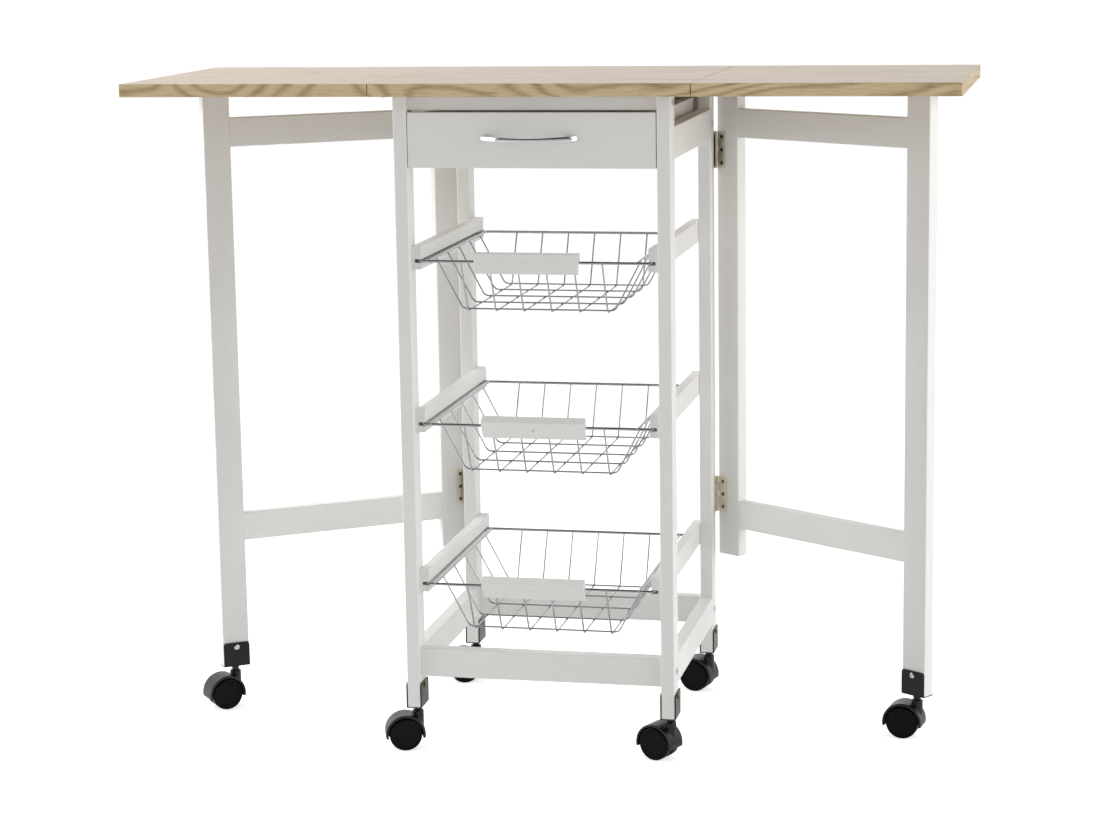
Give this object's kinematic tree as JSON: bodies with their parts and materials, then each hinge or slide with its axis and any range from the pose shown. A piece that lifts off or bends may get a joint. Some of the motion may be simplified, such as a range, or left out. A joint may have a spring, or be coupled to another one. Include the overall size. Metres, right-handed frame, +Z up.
{
  "type": "folding service trolley",
  "caption": "Narrow wheeled table with a fixed centre top, two drop leaves on swinging gate legs, a drawer and sliding wire baskets in a post frame.",
  "frame": {"origin": "on the floor, below the middle of the top, which is within 3 mm of the middle of the bounding box", "axes": "+Z up, +X to the right along the length of the top, front with the drawer towards -Y"},
  "size_m": [1.04, 0.3796, 0.85],
  "materials": {
    "white_painted_wood": "satin white paint",
    "oak_laminate": "matt pale oak laminate",
    "chrome_wire": "bright plated steel",
    "nickel_hinge": "dull nickel plate",
    "zinc_screw": "bright zinc plate",
    "black_nylon": "satin black",
    "black_steel": "satin black paint",
    "hardboard": "white coated panel"
  },
  "bodies": {
    "frame": {"centre_top": "oak_laminate", "leaf_hinge_plates": "nickel_hinge", "post_front_left": "white_painted_wood", "post_front_right": "white_painted_wood", "post_rear_left": "white_painted_wood", "post_rear_right": "white_painted_wood", "side_aprons": "white_painted_wood", "top_rail_front": "white_painted_wood", "apron_back": "white_painted_wood", "foot_rails": "white_painted_wood", "basket_runners": "white_painted_wood", "drawer_strips": "white_painted_wood", "top_angles": "zinc_screw", "frame_bolts": "zinc_screw", "frame_screws": "zinc_screw", "post_hinge_leaves": "nickel_hinge", "post_caster_brackets": "black_steel"},
    "leaf_left": {"leaf_left": "oak_laminate", "leaf_hinge_flaps_left": "nickel_hinge"},
    "leaf_right": {"leaf_right": "oak_laminate", "leaf_hinge_flaps_right": "nickel_hinge"},
    "drawer": {"drawer_front": "white_painted_wood", "drawer_sides": "white_painted_wood", "drawer_back": "white_painted_wood", "drawer_bottom": "hardboard", "drawer_handle": "chrome_wire", "drawer_handle_screws": "zinc_screw"},
    "basket_low": {"basket_low": "chrome_wire", "basket_low_grip": "white_painted_wood", "basket_low_grip_screw": "zinc_screw"},
    "basket_middle": {"basket_middle": "chrome_wire", "basket_middle_grip": "white_painted_wood", "basket_middle_grip_screw": "zinc_screw"},
    "basket_high": {"basket_high": "chrome_wire", "basket_high_grip": "white_painted_wood", "basket_high_grip_screw": "zinc_screw"},
    "gate_left": {"gate_left_stile": "white_painted_wood", "gate_left_leg": "white_painted_wood", "gate_left_rails": "white_painted_wood", "gate_left_hinge_leaves": "nickel_hinge", "gate_left_bracket": "black_steel", "gate_left_bracket_screws": "zinc_screw"},
    "gate_right": {"gate_right_stile": "white_painted_wood", "gate_right_leg": "white_painted_wood", "gate_right_rails": "white_painted_wood", "gate_right_hinge_leaves": "nickel_hinge", "gate_right_bracket": "black_steel", "gate_right_bracket_screws": "zinc_screw"},
    "caster_front_left": {"caster_front_left": "black_nylon"},
    "wheels_front_left": {"wheels_front_left": "black_nylon"},
    "caster_front_right": {"caster_front_right": "black_nylon"},
    "wheels_front_right": {"wheels_front_right": "black_nylon"},
    "caster_rear_left": {"caster_rear_left": "black_nylon"},
    "wheels_rear_left": {"wheels_rear_left": "black_nylon"},
    "caster_rear_right": {"caster_rear_right": "black_nylon"},
    "wheels_rear_right": {"wheels_rear_right": "black_nylon"},
    "caster_gate_left": {"caster_gate_left": "black_nylon"},
    "wheels_gate_left": {"wheels_gate_left": "black_nylon"},
    "caster_gate_right": {"caster_gate_right": "black_nylon"},
    "wheels_gate_right": {"wheels_gate_right": "black_nylon"}
  },
  "joints": [
    {"name": "leaf_left_hinge", "type": "hinge", "parent": "frame", "child": "leaf_left", "pos_m": [-0.1995, 0, 0.831], "axis": [0, 1, 0], "range_deg": [0, 2]},
    {"name": "leaf_right_hinge", "type": "hinge", "parent": "frame", "child": "leaf_right", "pos_m": [0.1995, 0, 0.831], "axis": [0, -1, 0], "range_deg": [0, 2]},
    {"name": "drawer_slide", "type": "slide", "parent": "frame", "child": "drawer", "axis": [0, -1, 0], "range_m": [0, 0.22]},
    {"name": "basket_low_slide", "type": "slide", "parent": "frame", "child": "basket_low", "axis": [0, -1, 0], "range_m": [0, 0.24]},
    {"name": "basket_middle_slide", "type": "slide", "parent": "frame", "child": "basket_middle", "axis": [0, -1, 0], "range_m": [0, 0.24]},
    {"name": "basket_high_slide", "type": "slide", "parent": "frame", "child": "basket_high", "axis": [0, -1, 0], "range_m": [0, 0.24]},
    {"name": "gate_right_swing", "type": "hinge", "parent": "frame", "child": "gate_right", "pos_m": [0.1748, 0.1769, 0.5], "axis": [0, 0, 1], "range_deg": [-44, 34]},
    {"name": "gate_left_swing", "type": "hinge", "parent": "frame", "child": "gate_left", "pos_m": [-0.1748, 0.1769, 0.5], "axis": [0, 0, -1], "range_deg": [-43, 35]},
    {"name": "caster_front_left_swivel", "type": "hinge", "parent": "frame", "child": "caster_front_left", "pos_m": [-0.164, -0.1485, 0.05], "axis": [0, 0, 1], "continuous": true},
    {"name": "caster_front_right_swivel", "type": "hinge", "parent": "frame", "child": "caster_front_right", "pos_m": [0.164, -0.1485, 0.05], "axis": [0, 0, 1], "continuous": true},
    {"name": "caster_rear_left_swivel", "type": "hinge", "parent": "frame", "child": "caster_rear_left", "pos_m": [-0.164, 0.1645, 0.05], "axis": [0, 0, 1], "continuous": true},
    {"name": "caster_rear_right_swivel", "type": "hinge", "parent": "frame", "child": "caster_rear_right", "pos_m": [0.164, 0.1645, 0.05], "axis": [0, 0, 1], "continuous": true},
    {"name": "caster_gate_left_swivel", "type": "hinge", "parent": "gate_left", "child": "caster_gate_left", "pos_m": [-0.45738, -0.00778, 0.05], "axis": [0, 0, 1], "continuous": true},
    {"name": "caster_gate_right_swivel", "type": "hinge", "parent": "gate_right", "child": "caster_gate_right", "pos_m": [0.46056, -0.00282, 0.05], "axis": [0, 0, 1], "continuous": true},
    {"name": "wheels_front_left_spin", "type": "hinge", "parent": "caster_front_left", "child": "wheels_front_left", "pos_m": [-0.18007, -0.15404, 0.021], "axis": [0.3256, -0.9455, 0], "continuous": true},
    {"name": "wheels_front_right_spin", "type": "hinge", "parent": "caster_front_right", "child": "wheels_front_right", "pos_m": [0.14835, -0.14186, 0.021], "axis": [-0.3907, -0.9205, 0], "continuous": true},
    {"name": "wheels_rear_left_spin", "type": "hinge", "parent": "caster_rear_left", "child": "wheels_rear_left", "pos_m": [-0.17997, 0.15869, 0.021], "axis": [0.342, -0.9397, 0], "continuous": true},
    {"name": "wheels_rear_right_spin", "type": "hinge", "parent": "caster_rear_right", "child": "wheels_rear_right", "pos_m": [0.14758, 0.1689, 0.021], "axis": [-0.2588, -0.9659, 0], "continuous": true},
    {"name": "wheels_gate_left_spin", "type": "hinge", "parent": "caster_gate_left", "child": "wheels_gate_left", "pos_m": [-0.4704, -0.0187, 0.021], "axis": [0.6428, -0.766, 0], "continuous": true},
    {"name": "wheels_gate_right_spin", "type": "hinge", "parent": "caster_gate_right", "child": "wheels_gate_right", "pos_m": [0.44377, -0.00016, 0.021], "axis": [-0.1564, -0.9877, 0], "continuous": true}
  ]
}
